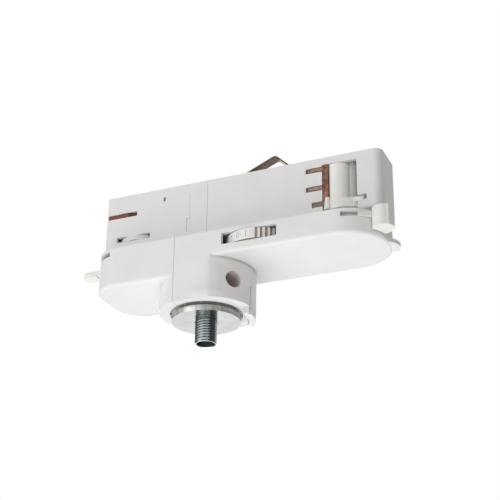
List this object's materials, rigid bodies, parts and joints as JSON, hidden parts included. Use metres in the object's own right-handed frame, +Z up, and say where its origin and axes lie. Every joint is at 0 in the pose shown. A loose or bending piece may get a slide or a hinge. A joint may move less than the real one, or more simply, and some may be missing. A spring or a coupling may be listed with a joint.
{
  "type": "track light adapter",
  "caption": "Slim moulded adapter that locks into a three-circuit lighting track, with turning levers, a circuit selector wheel and a threaded nipple for the lamp.",
  "frame": {"origin": "on the nipple's axis, in the lower face of the zinc disc", "axes": "+X along the body towards the contact lever, +Z up into the track, -Y towards the selector wheel"},
  "size_m": [0.1258, 0.0324, 0.0674],
  "materials": {
    "white_plastic": "satin moulding",
    "lever_plastic": "satin moulding",
    "selector_plastic": "satin moulding",
    "terminal_plastic": "satin moulding",
    "zinc_plate": "bright zinc plating",
    "plated_steel": "zinc plating",
    "dark_steel": "oiled steel",
    "brass_sleeve": "drawn",
    "copper_sheet": "rolled copper alloy"
  },
  "bodies": {
    "housing": {"right_housing": "white_plastic", "left_housing": "white_plastic", "mount_disc": "zinc_plate", "threaded_nipple": "zinc_plate", "lock_washer": "plated_steel", "nipple_nut": "plated_steel", "clamp_screw": "dark_steel", "terminal_block": "terminal_plastic", "terminal_sleeves": "brass_sleeve", "terminal_screws": "plated_steel", "earth_spring": "copper_sheet", "side_contact": "copper_sheet", "phase_strip_1": "copper_sheet", "phase_strip_2": "copper_sheet", "phase_strip_3": "copper_sheet", "selector_axle": "plated_steel", "selector_spring": "plated_steel"},
    "selector": {"selector_wheel": "selector_plastic", "selector_wiper": "copper_sheet"},
    "contact_drive": {"contact_lever": "lever_plastic", "contact_rotor": "lever_plastic", "front_comb": "copper_sheet", "rear_comb": "copper_sheet"},
    "lock_drive": {"lock_lever": "lever_plastic", "lock_rotor": "lever_plastic"}
  },
  "joints": [
    {"name": "selector_turn", "type": "hinge", "parent": "housing", "child": "selector", "pos_m": [0.02285, -0.00365, 0.0242], "axis": [0, 0, 1], "range_deg": [0, 90]},
    {"name": "contact_turn", "type": "hinge", "parent": "housing", "child": "contact_drive", "pos_m": [0.0539, 0, 0.0259], "axis": [0, 0, 1], "range_deg": [0, 60]},
    {"name": "lock_turn", "type": "hinge", "parent": "housing", "child": "lock_drive", "pos_m": [-0.0272, 0, 0.0259], "axis": [0, 0, 1], "range_deg": [0, 60]}
  ]
}
